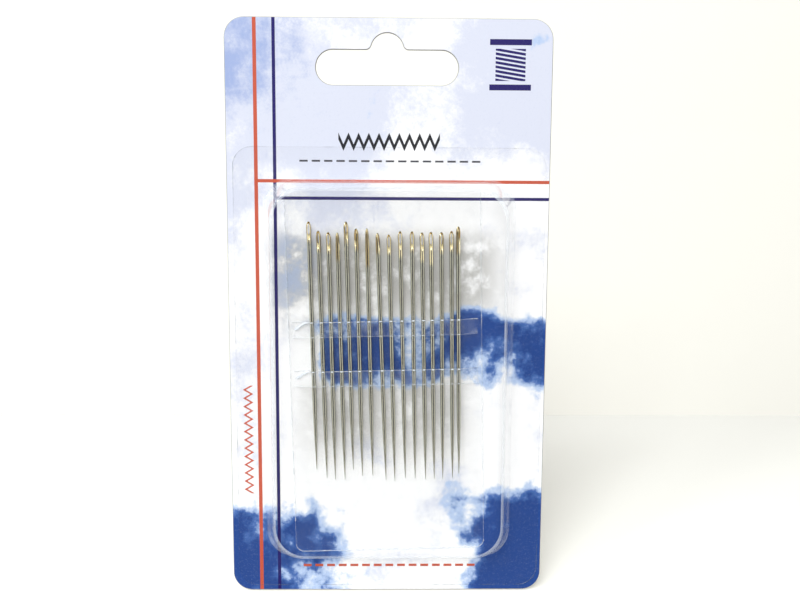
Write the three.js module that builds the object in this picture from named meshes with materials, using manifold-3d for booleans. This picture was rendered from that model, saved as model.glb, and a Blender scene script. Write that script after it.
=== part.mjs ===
// A carded blister pack of hand sewing needles.
//
// A printed card with a hang slot carries a clear thermoformed blister, sealed to
// the card by its flange. In the blister lies a clear carrier sheet. Two strips are
// slit free of the sheet and formed forward over a row of needles, so that every
// needle has its own pocket in each strip and can slide along it.
//
// Millimetres, +Z up. The front of the pack faces -Y, the card's front is y = 0, and
// the origin is the middle of the hang slot.

import * as THREE from "three";
import { mergeVertices } from "three/addons/utils/BufferGeometryUtils.js";
import Module from "manifold-3d";

// Needle: a long-eyed darner with a flattened head
const needleLength = 58;
const needleDiameter = 1.0;
const headWidth = 1.12;
const headThickness = 0.84;
const headNose = 1.5;
const headTaper = 3.4;
const eyeLength = 2.4;
const eyeWidth = 0.54;
const eyeFromTop = 0.5;
const gutterLength = 2.0;
const gutterDepth = 0.2;
const pointLength = 19;
const tipDiameter = 0.1;

// Row of needles in the carrier
const needlePitch = 2.25;
const needleClearance = 0.2;

// Carrier sheet and its two strips
const carrierThickness = 0.2;
const carrierGap = 0.2;
const carrierLean = 1.45;
const carrierSideMargin = 5.6;
const carrierEndMargin = 13.95;
const carrierCornerRadius = 2;
const rowRise = 4.85;
const rowAside = -0.5;
const stripHeight = 3.6;
const stripSpacing = 11.5;
const slitGap = 0.15;
const slitMargin = 1.0;
const pocketWrap = 52;

// Blister: a dome with a flat face, drafted walls and a seal flange
const filmThickness = 0.3;
const cavitySideRoom = 4.34;
const cavityEndRoom = 0.25;
const domeDepth = 6.8;
const domeDraft = 17.2;
const domeFaceRadius = 0.8;
const domeBaseRadius = 0.7;
const domeCornerRadius = 6.9;
const sealSideWidth = 6.76;
const sealEndWidth = 7.1;
const flangeCornerRadius = 4.5;
const blisterAside = 0.27;

// Card and hang slot
const cardThickness = 0.5;
const cardSideMargin = 1.2;
const cardFootMargin = 1.3;
const cardHeadMargin = 3.3;
const cardCornerRadius = 4.5;
const slotLength = 32;
const slotHeight = 7.7;
const slotBumpRadius = 3.7;
const slotBumpFillet = 1.3;
const slotToFlange = 13.7;
const slotFromMiddle = 0.4;

// Facets
const needleSides = 12;
const cornerSteps = 6;

// How each needle lies in its pockets: aside from its even place as a share of the room
// between two heads, along itself in millimetres, leaning and rolled in degrees.
const lies = [
  { aside: 0.0, along: 1.6, lean: 0.1, roll: 8 },
  { aside: 0.0, along: -0.5, lean: 0.3, roll: -14 },
  { aside: -0.13, along: -0.9, lean: 0.0, roll: 10 },
  { aside: -0.21, along: -1.0, lean: 0.2, roll: 82 },
  { aside: -0.42, along: 1.4, lean: 0.2, roll: 26 },
  { aside: -0.46, along: -0.2, lean: 0.0, roll: -30 },
  { aside: -0.29, along: -0.2, lean: 0.0, roll: 86 },
  { aside: 0.13, along: -1.3, lean: 0.7, roll: 58 },
  { aside: 0.21, along: -1.7, lean: 0.2, roll: -6 },
  { aside: 0.46, along: -1.0, lean: 0.1, roll: 4 },
  { aside: 0.71, along: -1.1, lean: -0.3, roll: -10 },
  { aside: 0.8, along: -1.4, lean: -0.1, roll: 6 },
  { aside: 0.63, along: -1.3, lean: -0.1, roll: -4 },
  { aside: 0.59, along: -1.4, lean: -0.5, roll: 12 },
  { aside: 0.63, along: -1.2, lean: -0.5, roll: -8 },
  { aside: 0.0, along: -0.2, lean: -0.5, roll: 36 },
];

// Sizes that follow from the ones above, from the needles outwards
const rad = THREE.MathUtils.degToRad;
const needleRadius = needleDiameter / 2;
const headRoom = needlePitch - headWidth;
const rowWidth = (lies.length - 1) * needlePitch;
const pocketRadius = needleRadius + needleClearance;
const needleSeat = carrierGap + carrierThickness + needleClearance;
const needleDepth = needleSeat + Math.max(headWidth, needleDiameter) / 2;
const carrierWidth = rowWidth + 2 * carrierSideMargin;
const carrierHeight = needleLength + 2 * carrierEndMargin;
const leanSin = Math.abs(Math.sin(rad(carrierLean)));
const leanCos = Math.cos(rad(carrierLean));
const domeFoot = domeBaseRadius + filmThickness;
const domeWidth = carrierWidth * leanCos + carrierHeight * leanSin + 2 * (domeFoot + cavitySideRoom);
const domeHeight = carrierHeight * leanCos + carrierWidth * leanSin + 2 * (domeFoot + cavityEndRoom);
const flangeWidth = domeWidth + 2 * sealSideWidth;
const flangeHeight = domeHeight + 2 * sealEndWidth;
const flangeTop = -slotHeight / 2 - slotToFlange;
const cavityMiddle = flangeTop - flangeHeight / 2;
const cardWidth = flangeWidth + 2 * cardSideMargin;
const cardTop = slotHeight / 2 + slotBumpRadius + cardHeadMargin;
const cardFoot = flangeTop - flangeHeight - cardFootMargin;

const wasm = await Module();
wasm.setup();

/** A closed three.js geometry as a solid that can be joined and cut. */
function solid(geometry) {
  const bare = geometry.clone();
  bare.deleteAttribute("normal");
  bare.deleteAttribute("uv");
  const merged = mergeVertices(bare, 1e-5);
  const mesh = new wasm.Mesh({
    numProp: 3,
    vertProperties: new Float32Array(merged.attributes.position.array),
    triVerts: new Uint32Array(merged.index.array),
  });
  return new wasm.Manifold(mesh);
}

/** A solid back as a three.js geometry with flat-shaded normals. */
function geometryOf(manifold) {
  const mesh = manifold.getMesh();
  const geometry = new THREE.BufferGeometry();
  geometry.setAttribute("position", new THREE.BufferAttribute(mesh.vertProperties, 3));
  geometry.setIndex(new THREE.BufferAttribute(mesh.triVerts, 1));
  geometry.computeVertexNormals();
  return geometry;
}

/**
 * Skins a list of closed rings, all with the same number of points, and closes the
 * first and the last ring with a fan. The rings run anticlockwise seen from the end
 * that the list leads to.
 */
function loft(rings) {
  const count = rings[0].length;
  const positions = rings.flat().flatMap((p) => [p.x, p.y, p.z]);
  const index = [];
  for (let r = 0; r + 1 < rings.length; r += 1) {
    for (let i = 0; i < count; i += 1) {
      const a = r * count + i;
      const b = r * count + ((i + 1) % count);
      index.push(a, b, b + count, a, b + count, a + count);
    }
  }
  const last = (rings.length - 1) * count;
  for (let i = 1; i + 1 < count; i += 1) {
    index.push(0, i + 1, i);
    index.push(last, last + i, last + i + 1);
  }
  const geometry = new THREE.BufferGeometry();
  geometry.setAttribute("position", new THREE.Float32BufferAttribute(positions, 3));
  geometry.setIndex(index);
  geometry.computeVertexNormals();
  return geometry;
}

/** A rounded rectangle about the origin, as a three.js shape. */
function roundedRectangle(width, height, radius) {
  const x = width / 2;
  const y = height / 2;
  const r = Math.min(radius, x, y);
  const shape = new THREE.Shape();
  shape.absarc(x - r, y - r, r, 0, Math.PI / 2);
  shape.absarc(-x + r, y - r, r, Math.PI / 2, Math.PI);
  shape.absarc(-x + r, -y + r, r, Math.PI, Math.PI * 1.5);
  shape.absarc(x - r, -y + r, r, Math.PI * 1.5, Math.PI * 2);
  shape.closePath();
  return shape;
}

/** Turns an extrusion of an XY outline upright, so that it runs from y = 0 towards -Y. */
function upright(geometry) {
  return geometry.rotateX(Math.PI / 2);
}

/** A plate of the given outline in the XZ plane, from front to front + thickness in Y. */
function plate(shape, front, thickness) {
  const geometry = new THREE.ExtrudeGeometry(shape, {
    depth: thickness,
    bevelEnabled: false,
    curveSegments: cornerSteps,
  });
  return upright(geometry).translate(0, front + thickness, 0);
}

/** The euro slot: a long slot with a round notch in its upper edge. */
function hangSlot() {
  const end = slotLength / 2 - slotHeight / 2;
  const edge = slotHeight / 2;
  const fillet = slotBumpFillet;
  const bump = slotBumpRadius;
  // The notch is a half circle on the slot's edge, met on both sides by a fillet.
  const reach = Math.sqrt((bump + fillet) ** 2 - fillet ** 2);
  const turn = Math.atan2(fillet, reach);
  const path = new THREE.Path();
  path.absarc(end, 0, edge, -Math.PI / 2, Math.PI / 2);
  path.absarc(reach, edge + fillet, fillet, -Math.PI / 2, -Math.PI + turn, true);
  path.absarc(0, edge, bump, turn, Math.PI - turn);
  path.absarc(-reach, edge + fillet, fillet, -turn, -Math.PI / 2, true);
  path.absarc(-end, 0, edge, Math.PI / 2, Math.PI * 1.5);
  path.closePath();
  return path;
}

/** The card, with its middle line beside the slot by slotFromMiddle. */
function cardGeometry() {
  const height = cardTop - cardFoot;
  const shape = roundedRectangle(cardWidth, height, cardCornerRadius);
  const middle = new THREE.Vector2(slotFromMiddle, cardTop - height / 2);
  const outline = new THREE.Shape(shape.getPoints(cornerSteps).map((p) => p.add(middle)));
  outline.holes.push(hangSlot());
  return plate(outline, 0, cardThickness);
}

/** One ring of the blister: a rounded rectangle at a depth in front of the card. */
function blisterRing(width, height, radius, depth) {
  const points = [];
  const x = width / 2 - radius;
  const z = height / 2 - radius;
  const centres = [[x, z], [-x, z], [-x, -z], [x, -z]];
  centres.forEach(([cx, cz], corner) => {
    for (let i = 0; i <= cornerSteps; i += 1) {
      const angle = (corner + i / cornerSteps) * (Math.PI / 2);
      const px = cx + radius * Math.cos(angle);
      const pz = cz + radius * Math.sin(angle);
      points.push(new THREE.Vector3(px, -depth, pz));
    }
  });
  return points;
}

/**
 * The wall of the dome as pairs of inset and depth, from the flange to the face. The
 * outer and the inner wall turn about the same centres, one film thickness apart.
 */
function domeWall(offset) {
  const draft = rad(domeDraft);
  const base = domeBaseRadius + offset;
  const face = domeFaceRadius - offset;
  const baseCentre = filmThickness + domeBaseRadius;
  const faceCentre = domeDepth - domeFaceRadius;
  const rise = faceCentre - baseCentre + (domeFaceRadius + domeBaseRadius) * Math.sin(draft);
  const across = (domeFaceRadius + domeBaseRadius) * Math.cos(draft) + rise * Math.tan(draft);
  const wall = [];
  for (let i = 0; i <= 3; i += 1) {
    const angle = -Math.PI / 2 + (i / 3) * (Math.PI / 2 - draft);
    wall.push([base * Math.cos(angle), baseCentre + base * Math.sin(angle)]);
  }
  for (let i = 0; i <= 4; i += 1) {
    const angle = Math.PI - draft - (i / 4) * (Math.PI / 2 - draft);
    wall.push([across + face * Math.cos(angle), faceCentre + face * Math.sin(angle)]);
  }
  return wall;
}

/** The blister, lofted from the inner face out over the flange to the outer face. */
function blisterGeometry() {
  // The corners are as round at the face as at the flange, so they lean back more than the sides.
  const domeRing = (corner) => ([inset, depth]) =>
    blisterRing(domeWidth - 2 * inset, domeHeight - 2 * inset, corner, depth);
  const rings = [
    ...domeWall(filmThickness).reverse().map(domeRing(domeCornerRadius - filmThickness)),
    blisterRing(flangeWidth, flangeHeight, flangeCornerRadius, 0),
    blisterRing(flangeWidth, flangeHeight, flangeCornerRadius, filmThickness),
    ...domeWall(0).map(domeRing(domeCornerRadius)),
  ];
  return loft(rings);
}

/** Where a needle's axis is at a height in the carrier, measured from the row's middle. */
function needleAside(i, height) {
  const even = -rowWidth / 2 + i * needlePitch;
  return even + lies[i].aside * headRoom - height * Math.tan(rad(lies[i].lean));
}

/**
 * The section of a strip at one height: an inner and an outer line that leave the
 * sheet, climb over the row with a round pocket on each needle and come down again.
 */
function stripSection(height) {
  const sheetBack = carrierGap;
  const end = carrierWidth / 2 - slitMargin;
  const outerRadius = pocketRadius + carrierThickness;
  const inner = [new THREE.Vector2(-end - slitMargin / 2, sheetBack), new THREE.Vector2(-end, sheetBack)];
  const outer = inner.map((p) => new THREE.Vector2(p.x, p.y + carrierThickness));
  for (let i = 0; i < lies.length; i += 1) {
    const here = needleAside(i, height);
    const left = i > 0 ? (here - needleAside(i - 1, height)) / 2 : Infinity;
    const right = i + 1 < lies.length ? (needleAside(i + 1, height) - here) / 2 : Infinity;
    const wrapLeft = Math.min(rad(pocketWrap), Math.asin(Math.min(1, (0.94 * left) / outerRadius)));
    const wrapRight = Math.min(rad(pocketWrap), Math.asin(Math.min(1, (0.94 * right) / outerRadius)));
    for (const angle of [-wrapLeft, -wrapLeft / 2, 0, wrapRight / 2, wrapRight]) {
      const sin = Math.sin(angle);
      const cos = Math.cos(angle);
      inner.push(new THREE.Vector2(here + pocketRadius * sin, needleDepth + pocketRadius * cos));
      outer.push(new THREE.Vector2(here + outerRadius * sin, needleDepth + outerRadius * cos));
    }
  }
  const foot = [new THREE.Vector2(end, sheetBack), new THREE.Vector2(end + slitMargin / 2, sheetBack)];
  inner.push(...foot);
  outer.push(...foot.map((p) => new THREE.Vector2(p.x, p.y + carrierThickness)));
  return { inner, outer };
}

/** One strip as a solid: its section at the lower edge lofted to that at the upper edge. */
function strip(middle) {
  const rows = [middle - stripHeight / 2, middle + stripHeight / 2].map((height) => {
    const { inner, outer } = stripSection(height);
    return [...inner, ...outer.reverse()].map((p) => new THREE.Vector3(p.x, -p.y, height));
  });
  const count = rows[0].length;
  const positions = rows.flat().flatMap((p) => [p.x, p.y, p.z]);
  const index = [];
  for (let i = 0; i < count; i += 1) {
    const next = (i + 1) % count;
    index.push(i, i + count, next + count, i, next + count, next);
  }
  for (let i = 0; i + 1 < count / 2; i += 1) {
    const a = i;
    const b = i + 1;
    const c = count - 2 - i;
    const d = count - 1 - i;
    index.push(a, b, c, a, c, d);
    index.push(a + count, c + count, b + count, a + count, d + count, c + count);
  }
  const geometry = new THREE.BufferGeometry();
  geometry.setAttribute("position", new THREE.Float32BufferAttribute(positions, 3));
  geometry.setIndex(index);
  return solid(geometry);
}

/** The carrier about the row's middle: a sheet with two windows and a strip before each. */
function carrierGeometry() {
  const shape = roundedRectangle(carrierWidth, carrierHeight, carrierCornerRadius);
  const below = new THREE.Vector2(0, -rowRise);
  const outline = new THREE.Shape(shape.getPoints(cornerSteps).map((p) => p.add(below)));
  const middles = [-stripSpacing / 2, stripSpacing / 2];
  for (const middle of middles) {
    const window = roundedRectangle(carrierWidth - 2 * slitMargin, stripHeight + 2 * slitGap, slitGap);
    const corners = window.getPoints(1).map((p) => p.add(new THREE.Vector2(0, middle)));
    outline.holes.push(new THREE.Path(corners));
  }
  const sheet = solid(plate(outline, -carrierGap - carrierThickness, carrierThickness));
  return geometryOf(middles.reduce((body, middle) => body.add(strip(middle)), sheet));
}

/** The eye: a long oval along Z, cut through the needle's head along Y. */
function eyeCutter() {
  const shape = new THREE.Shape();
  shape.absellipse(0, 0, eyeWidth / 2, eyeLength / 2, 0, Math.PI * 2);
  const depth = 2 * needleDiameter + headThickness;
  const middle = needleLength / 2 - eyeFromTop - eyeLength / 2;
  const geometry = new THREE.ExtrudeGeometry(shape, { depth, bevelEnabled: false, curveSegments: 8 });
  return solid(upright(geometry).translate(0, depth / 2, middle));
}

/** The gutters: a shallow groove on each face that leads the thread into the eye. */
function gutterCutter(side) {
  const geometry = new THREE.SphereGeometry(1, 8, 6);
  geometry.rotateX(Math.PI / 2);
  geometry.scale(eyeWidth / 2, 2 * gutterDepth, gutterLength);
  const below = needleLength / 2 - eyeFromTop - eyeLength;
  return solid(geometry.translate(0, side * (headThickness / 2 + gutterDepth), below));
}

/** A needle along Z about its middle: point down, head up, the eye's faces along Y. */
function needleGeometry() {
  const top = needleLength / 2;
  const tip = tipDiameter / 2;
  const shoulder = eyeFromTop + eyeLength;
  // Height, half width and half thickness of each section, from the point upwards
  const sections = [];
  for (const part of [0, 0.1, 0.3, 0.6, 1]) {
    const swell = Math.sin((part * Math.PI) / 2) ** 0.9;
    const radius = tip + (needleRadius - tip) * swell;
    sections.push([-needleLength / 2 + part * pointLength, radius, radius]);
  }
  sections.push([top - shoulder - headTaper, needleRadius, needleRadius]);
  sections.push([top - shoulder, 0.45 * headWidth, (headThickness + needleDiameter) / 4]);
  // The head ends in half an oval.
  for (const part of [1, 0.62, 0.33, 0.12, 0.02]) {
    const round = Math.sqrt(1 - (1 - part) ** 2) / 2;
    sections.push([top - part * headNose, round * headWidth, round * headThickness]);
  }
  const rings = sections.map(([height, a, b]) =>
    Array.from({ length: needleSides }, (_, i) => {
      const angle = ((i + 0.5) / needleSides) * Math.PI * 2;
      return new THREE.Vector3(a * Math.cos(angle), b * Math.sin(angle), height);
    }),
  );
  const blank = solid(loft(rings)).subtract(eyeCutter());
  return geometryOf(blank.subtract(gutterCutter(-1)).subtract(gutterCutter(1)));
}

const cardStock = new THREE.MeshStandardMaterial({ color: 0xd9def0, roughness: 0.55, metalness: 0 });
const clearFilm = new THREE.MeshStandardMaterial({
  color: 0xf2f5f6,
  roughness: 0.08,
  metalness: 0,
  transparent: true,
  opacity: 0.25,
});
const carrierFilm = new THREE.MeshStandardMaterial({
  color: 0xeef2f2,
  roughness: 0.15,
  metalness: 0,
  transparent: true,
  opacity: 0.3,
});
const steel = new THREE.MeshStandardMaterial({ color: 0x9b978b, roughness: 0.28, metalness: 1 });

/** A named mesh. */
function piece(name, geometry, material) {
  const mesh = new THREE.Mesh(geometry, material);
  mesh.name = name;
  return mesh;
}

const pack = new THREE.Group();
pack.add(piece("backing_card", cardGeometry(), cardStock));

// The blister is sealed a little beside the card's middle line.
const blister = piece("blister", blisterGeometry(), clearFilm);
blister.position.set(slotFromMiddle + blisterAside, 0, cavityMiddle);
pack.add(blister);

// The carrier and its needles lie a little askew in the cavity, as one group about
// the middle of the row.
const row = new THREE.Group();
row.position.set(slotFromMiddle + rowAside, 0, cavityMiddle + rowRise);
row.rotation.y = -rad(carrierLean);
row.add(piece("needle_carrier", carrierGeometry(), carrierFilm));
const needle = needleGeometry();
lies.forEach((lie, i) => {
  const mesh = piece(`needle_${String(i + 1).padStart(2, "0")}`, needle, steel);
  mesh.position.set(needleAside(i, lie.along), -needleDepth, lie.along);
  mesh.rotation.set(0, -rad(lie.lean), rad(lie.roll));
  row.add(mesh);
});
pack.add(row);

export default pack;
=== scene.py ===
"""Looks of a carded pack of hand sewing needles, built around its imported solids.

A printed card with a hang slot carries a clear blister. In the blister lies a clear carrier
sheet, and two strips formed out of the sheet hold sixteen needles with gilt eyes. Lengths are
in millimetres and angles in degrees up to where a mesh is made. The pack faces -Y, the front
of its card is y = 0, +Z is up, and the origin is the middle of the hang slot.
"""

from __future__ import annotations

import logging
import math
from dataclasses import dataclass, field, replace
from enum import Enum
from functools import cached_property
from typing import Any

import bmesh
import bpy
from mathutils import Color, Matrix, Vector
from mathutils.geometry import tessellate_polygon


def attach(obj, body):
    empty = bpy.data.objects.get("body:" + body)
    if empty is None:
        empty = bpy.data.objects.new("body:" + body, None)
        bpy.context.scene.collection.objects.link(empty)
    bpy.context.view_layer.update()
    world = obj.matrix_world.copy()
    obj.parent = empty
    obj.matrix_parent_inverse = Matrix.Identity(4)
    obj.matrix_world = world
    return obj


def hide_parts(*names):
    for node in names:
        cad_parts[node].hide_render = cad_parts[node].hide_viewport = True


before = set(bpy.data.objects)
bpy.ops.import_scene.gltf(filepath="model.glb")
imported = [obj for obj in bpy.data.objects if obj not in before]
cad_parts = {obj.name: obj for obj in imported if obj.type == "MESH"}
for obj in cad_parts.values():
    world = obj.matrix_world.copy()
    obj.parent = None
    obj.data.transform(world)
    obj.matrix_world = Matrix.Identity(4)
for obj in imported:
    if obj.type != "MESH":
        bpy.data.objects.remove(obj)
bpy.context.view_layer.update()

log = logging.getLogger("needle_pack")

MM = 0.001
QUARTER = math.pi / 2
WELDS_PER_MM = 1e4
PACK_BODY = "pack"

Colour = tuple[float, float, float, float]
Pair = tuple[float, float]
Triple = tuple[float, float, float]
Fade = tuple[float, float]  # where a share is 0, and where it is 1
Ring = list[Vector]
Socket = bpy.types.NodeSocket
Term = float | Socket
Inputs = dict[str, Any]

WHITE: Colour = (1.0, 1.0, 1.0, 1.0)
DAYLIGHT: Triple = (0.955, 0.985, 1.0)


def srgb(red: int, green: int, blue: int) -> Colour:
    """Turns a colour as a screen shows it, from 0 to 255, into a linear one."""
    shown = Color((red / 255, green / 255, blue / 255))
    return (*shown.from_srgb_to_scene_linear(), 1.0)


# Grey of the clouds behind the needle row: partly print, partly painted shade of the needles.
CLOUD_AND_SHADE_GREY = srgb(190, 189, 187)
DUSK_BLUE = srgb(172, 183, 206)


class Run(Enum):
    """The way that a printed line runs on the card."""

    ACROSS = "across"
    UPRIGHT = "upright"


class Stitch(Enum):
    """The kind of stitch in a printed row of stitches."""

    RUNNING = "running"
    ZIGZAG = "zigzag"


class Ink(Enum):
    """The inks of the card's print."""

    ORANGE = srgb(197, 88, 62)
    NAVY = srgb(34, 24, 96)
    BLACK = srgb(30, 29, 34)
    GREY = srgb(66, 64, 72)


class CardSide(Enum):
    """The faces of the card, as the places of their materials on its mesh."""

    FRONT = 0
    EDGE = 1
    BACK = 2


class FilmPart(Enum):
    """The parts of a clear film, as the places of their materials on its mesh."""

    CLEAR = 0
    CUT_EDGE = 1
    # Worked film: partly hazed by drawing or folding, partly painted highlight.
    WORKED_AND_HIGHLIT = 2
    FORMED = 3


@dataclass(frozen=True)
class Noise:
    """A cloudy pattern around 0.5: its largest patches in millimetres, and its finer layers."""

    size: float
    detail: float = 3.0
    roughness: float = 0.5


class NodeSheet:
    """The nodes of one material or of the world, with short ways to write sums on them."""

    def __init__(self, tree: bpy.types.NodeTree) -> None:
        """Starts on a tree, which is emptied."""
        self.tree = tree
        tree.nodes.clear()

    @cached_property
    def where(self) -> Socket:
        """The point on the piece in its own frame, in millimetres."""
        inputs = {"Vector": self.node("ShaderNodeTexCoord").outputs["Object"], "Scale": 1 / MM}
        return self.first("ShaderNodeVectorMath", inputs, operation="SCALE")

    @cached_property
    def parts(self) -> tuple[Socket, Socket, Socket]:
        """The x, y and z of the point on the piece."""
        return self.split(self.where)

    def node(self, kind: str, inputs: Inputs | None = None, **settings: Any) -> bpy.types.Node:
        """Adds a node.

        Args:
            kind: The node's type.
            inputs: Values or sockets for its inputs, by name.
            **settings: Its own settings, by name.

        Returns:
            The node.
        """
        made = self.tree.nodes.new(kind)
        for name, value in settings.items():
            setattr(made, name, value)
        for name, value in (inputs or {}).items():
            self.feed(made.inputs[name], value)
        return made

    def first(self, kind: str, inputs: Inputs | None = None, **settings: Any) -> Socket:
        """Adds a node and gives its first output."""
        return self.node(kind, inputs, **settings).outputs[0]

    def filled(self, kind: str, *terms: Any, **settings: Any) -> Socket:
        """Adds a node with its inputs filled in order.

        Args:
            kind: The node's type.
            *terms: Values or sockets for its inputs.
            **settings: Its own settings, by name.

        Returns:
            Its first output.
        """
        made = self.node(kind, **settings)
        for socket, term in zip(made.inputs, terms):
            self.feed(socket, term)
        return made.outputs[0]

    def feed(self, socket: Socket, value: Any) -> None:
        """Gives an input a value, or links another node's output to it.

        Args:
            socket: The input.
            value: The value or the output.
        """
        if isinstance(value, bpy.types.NodeSocket):
            self.tree.links.new(value, socket)
        else:
            socket.default_value = value

    def math(self, operation: str, *terms: Term) -> Socket:
        """Adds a sum of the named kind on its terms."""
        return self.filled("ShaderNodeMath", *terms, operation=operation)

    def line(self, value: Term, slope: float, level: Term) -> Socket:
        """Gives a value times a slope, plus a level."""
        return self.math("MULTIPLY_ADD", value, slope, level)

    def apart(self, value: Term, middle: float) -> Socket:
        """Gives how far a value is from a middle."""
        return self.math("ABSOLUTE", self.math("SUBTRACT", value, middle))

    def around(self, middle: Pair) -> tuple[Socket, Socket]:
        """Gives the place across and up the piece, from a point on it."""
        x, _, z = self.parts
        return self.math("SUBTRACT", x, middle[0]), self.math("SUBTRACT", z, middle[1])

    def product(self, *terms: Term) -> Term:
        """Multiplies one or more terms.

        Args:
            *terms: The terms.

        Returns:
            Their product.
        """
        result = terms[0]
        for term in terms[1:]:
            result = self.math("MULTIPLY", result, term)
        return result

    def total(self, base: Term, terms: tuple[Term, ...], weights: tuple[float, ...]) -> Term:
        """Adds weighted terms to a base.

        Args:
            base: What they are added to.
            terms: The terms.
            weights: The weight of each term.

        Returns:
            Their sum.
        """
        result = base
        for term, weight in zip(terms, weights):
            result = self.line(term, weight, result)
        return result

    def band(self, value: Term, middle: float, half: float) -> Socket:
        """Gives 1 where a value is within half of a middle, and 0 elsewhere."""
        return self.math("COMPARE", value, middle, half)

    def rise(self, value: Term, low: float, high: float) -> Socket:
        """Climbs smoothly from 0 where a value is low to 1 where it is high."""
        ends = {"Value": value, "From Min": low, "From Max": high}
        return self.first("ShaderNodeMapRange", ends, interpolation_type="SMOOTHSTEP")

    def blend(self, share: Term, base: Any, other: Any) -> Socket:
        """Mixes two colours.

        Args:
            share: The other colour's share.
            base: A colour or a socket.
            other: A colour or a socket.

        Returns:
            The mixed colour.
        """
        made = self.node("ShaderNodeMix", data_type="RGBA")
        for place, value in ((0, share), (6, base), (7, other)):
            self.feed(made.inputs[place], value)
        return made.outputs[2]

    def noise(self, pattern: Noise, where: Socket | None = None) -> Socket:
        """Adds a cloudy pattern.

        Args:
            pattern: The pattern.
            where: The point that is read, or None for the point on the piece.

        Returns:
            The pattern's value.
        """
        inputs = {
            "Vector": self.where if where is None else where,
            "Scale": 1 / pattern.size,
            "Detail": pattern.detail,
            "Roughness": pattern.roughness,
        }
        return self.first("ShaderNodeTexNoise", inputs)

    def split(self, vector: Socket) -> tuple[Socket, Socket, Socket]:
        """Gives the three parts of a vector."""
        made = self.node("ShaderNodeSeparateXYZ", {"Vector": vector})
        return made.outputs[0], made.outputs[1], made.outputs[2]

    def stretch(self, scale: Triple) -> Socket:
        """Gives the point on the piece with each of its parts scaled by its own number."""
        return self.filled("ShaderNodeVectorMath", self.where, scale, operation="MULTIPLY")

    def bump(self, height: Socket, strength: float, depth: float) -> Socket:
        """Gives the normal of a surface with bumps of a strength and a depth in millimetres."""
        inputs = {"Height": height, "Strength": strength, "Distance": depth * MM}
        return self.first("ShaderNodeBump", inputs)

    def mix(self, share: Term, base: Socket, other: Socket) -> Socket:
        """Mixes two shaders by the other one's share."""
        return self.filled("ShaderNodeMixShader", share, base, other)


@dataclass(frozen=True)
class Tone:
    """A colour, and the values of a pattern from which it starts to show and shows fully."""

    colour: Colour
    low: float
    high: float

    def over(self, sheet: NodeSheet, base: Any, pattern: Term, *within: Term) -> Socket:
        """Lays the tone over a base colour by a pattern, within the shares given."""
        share = sheet.product(sheet.rise(pattern, self.low, self.high), *within)
        return sheet.blend(share, base, self.colour)


@dataclass(frozen=True)
class Patch:
    """An area of the card with soft edges, each a fade across the card or up it."""

    across: tuple[Fade, ...] = ()
    up: tuple[Fade, ...] = ()

    def share(self, sheet: NodeSheet) -> Term:
        """Gives 1 inside the area and 0 outside.

        Args:
            sheet: The node sheet.

        Returns:
            The share.
        """
        x, _, z = sheet.parts
        edges = [(z, fade) for fade in self.up] + [(x, fade) for fade in self.across]
        return sheet.product(*(sheet.rise(place, *fade) for place, fade in edges))


@dataclass(frozen=True)
class Finish:
    """A finish that becomes one material."""

    name: str

    def shader(self, sheet: NodeSheet) -> Socket:
        """Writes the finish on a node sheet and gives its shader."""
        raise NotImplementedError

    def material(self) -> bpy.types.Material:
        """Makes the material.

        Returns:
            The material.
        """
        made = bpy.data.materials.new(self.name)
        made.use_nodes = True
        sheet = NodeSheet(made.node_tree)
        sheet.node("ShaderNodeOutputMaterial", {"Surface": self.shader(sheet)})
        return made


@dataclass(frozen=True)
class Mark:
    """Something printed in one ink."""

    ink: Ink

    def mask(self, sheet: NodeSheet) -> Term:
        """Gives 1 where the ink is, and 0 elsewhere."""
        raise NotImplementedError


@dataclass(frozen=True)
class Stripe(Mark):
    """A straight printed stripe, from start to stop along its run."""

    run: Run
    place: float
    width: float
    start: float
    stop: float

    def mask(self, sheet: NodeSheet) -> Term:
        """Gives 1 on the stripe.

        Args:
            sheet: The node sheet.

        Returns:
            The mask.
        """
        x, _, z = sheet.parts
        across, along = (z, x) if self.run is Run.ACROSS else (x, z)
        middle = (self.start + self.stop) / 2
        half = abs(self.stop - self.start) / 2
        line = sheet.band(across, self.place, self.width / 2)
        return sheet.product(line, sheet.band(along, middle, half))


@dataclass(frozen=True)
class StitchRow(Mark):
    """A printed row of stitches."""

    run: Run
    stitch: Stitch
    middle: Pair
    count: int
    pitch: float
    length: float
    weight: float

    def mask(self, sheet: NodeSheet) -> Term:
        """Gives 1 on the stitches.

        Args:
            sheet: The node sheet.

        Returns:
            The mask.
        """
        u, v = sheet.around(self.middle)
        if self.run is Run.UPRIGHT:
            u, v = v, u
        row = sheet.band(u, 0.0, self.count * self.pitch / 2)
        offset = self.pitch / 2 if self.count % 2 == 0 else 0.0
        shifted = sheet.math("ADD", u, offset)
        each = sheet.math("WRAP", shifted, self.pitch / 2, -self.pitch / 2)
        if self.stitch is Stitch.RUNNING:
            inside = sheet.product(row, sheet.band(each, 0.0, self.length / 2))
            return sheet.product(inside, sheet.band(v, 0.0, self.weight / 2))
        steep = 2 * self.length / self.pitch
        wave = sheet.line(sheet.math("ABSOLUTE", each), steep, -self.length / 2)
        slant = sheet.math("SUBTRACT", wave, v)
        return sheet.product(row, sheet.band(slant, 0.0, self.weight * math.hypot(1, steep) / 2))


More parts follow.
